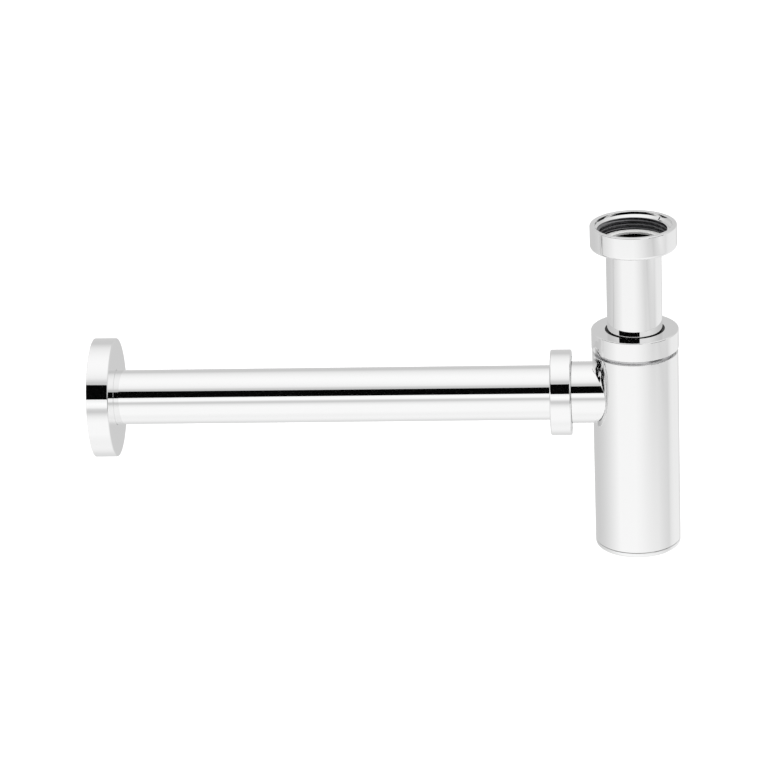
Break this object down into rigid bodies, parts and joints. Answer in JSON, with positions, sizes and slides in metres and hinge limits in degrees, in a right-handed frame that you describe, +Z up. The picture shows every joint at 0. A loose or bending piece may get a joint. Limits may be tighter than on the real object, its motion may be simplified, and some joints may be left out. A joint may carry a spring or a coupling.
{
  "type": "cylindrical sink trap",
  "caption": "Cylindrical washbasin bottle trap in polished chrome: threaded round nut inlet, slim body with a cleaning cap, long straight outlet tube and round wall flange.",
  "frame": {"origin": "centre of the inlet gasket's upper face, inside the inlet nut, where the basin waste's tail ends", "axes": "+Z up along the trap body's axis and out of the inlet's mouth; the outlet tube runs towards -X to the wall"},
  "size_m": [0.3433, 0.07, 0.199],
  "materials": {
    "chrome_plate": "polished chrome plate on brass",
    "plain_brass": "turned, unplated",
    "white_plastic": "moulded",
    "black_plastic": "moulded",
    "white_rubber": "moulded, smooth",
    "black_rubber": "moulded, smooth"
  },
  "bodies": {
    "inlet_union": {"inlet_nut": "chrome_plate"},
    "inlet_pipe": {"inlet_tube": "chrome_plate", "inlet_gasket": "white_rubber"},
    "trap": {"body_shell": "chrome_plate", "neck_ring": "chrome_plate", "base_ring": "plain_brass", "outlet_spigot": "chrome_plate", "dip_tube": "white_plastic", "neck_gasket": "black_rubber", "cap_seal": "black_rubber", "outlet_seal": "black_rubber"},
    "cap_slip": {"cap_washer": "black_plastic"},
    "cap": {"cap_ring": "chrome_plate"},
    "cleaning_seal": {"bottom_oring": "black_rubber"},
    "cleaning_cap": {"bottom_cap": "chrome_plate"},
    "outlet_slip": {"outlet_washer": "black_plastic"},
    "outlet_union": {"outlet_nut": "chrome_plate"},
    "outlet_pipe": {"wall_tube": "chrome_plate"},
    "flange": {"wall_flange": "chrome_plate", "flange_grip_ring": "black_rubber"}
  },
  "joints": [
    {"name": "inlet_swivel", "type": "hinge", "parent": "inlet_union", "child": "inlet_pipe", "pos_m": [0, 0, 0], "axis": [0, 0, 1], "continuous": true},
    {"name": "height_adjust", "type": "slide", "parent": "inlet_pipe", "child": "trap", "axis": [0, 0, 1], "range_m": [-0.015, 0.03]},
    {"name": "cap_travel", "type": "slide", "parent": "trap", "child": "cap_slip", "axis": [0, 0, 1], "range_m": [0, 0.0045]},
    {"name": "cap_turn", "type": "hinge", "parent": "cap_slip", "child": "cap", "pos_m": [0, 0, 0], "axis": [0, 0, 1], "range_deg": [0, 1080]},
    {"name": "cleaning_travel", "type": "slide", "parent": "trap", "child": "cleaning_seal", "axis": [0, 0, -1], "range_m": [0, 0.006]},
    {"name": "cleaning_turn", "type": "hinge", "parent": "cleaning_seal", "child": "cleaning_cap", "pos_m": [0, 0, 0], "axis": [0, 0, -1], "range_deg": [0, 1440]},
    {"name": "outlet_travel", "type": "slide", "parent": "trap", "child": "outlet_slip", "axis": [-1, 0, 0], "range_m": [0, 0.00693]},
    {"name": "outlet_turn", "type": "hinge", "parent": "outlet_slip", "child": "outlet_union", "pos_m": [0, 0, -0.0933], "axis": [-1, 0, 0], "range_deg": [0, 1080]},
    {"name": "wall_adjust", "type": "slide", "parent": "trap", "child": "outlet_pipe", "axis": [-1, 0, 0], "range_m": [0, 0.015]},
    {"name": "flange_slide", "type": "slide", "parent": "outlet_pipe", "child": "flange", "axis": [1, 0, 0], "range_m": [0, 0.2]}
  ],
  "couplings": [
    {"joint": "cap_turn", "follows": "cap_travel", "rad_per_m": 4188.8},
    {"joint": "cleaning_turn", "follows": "cleaning_travel", "rad_per_m": 4188.8},
    {"joint": "outlet_turn", "follows": "outlet_travel", "rad_per_m": 2721.2}
  ]
}
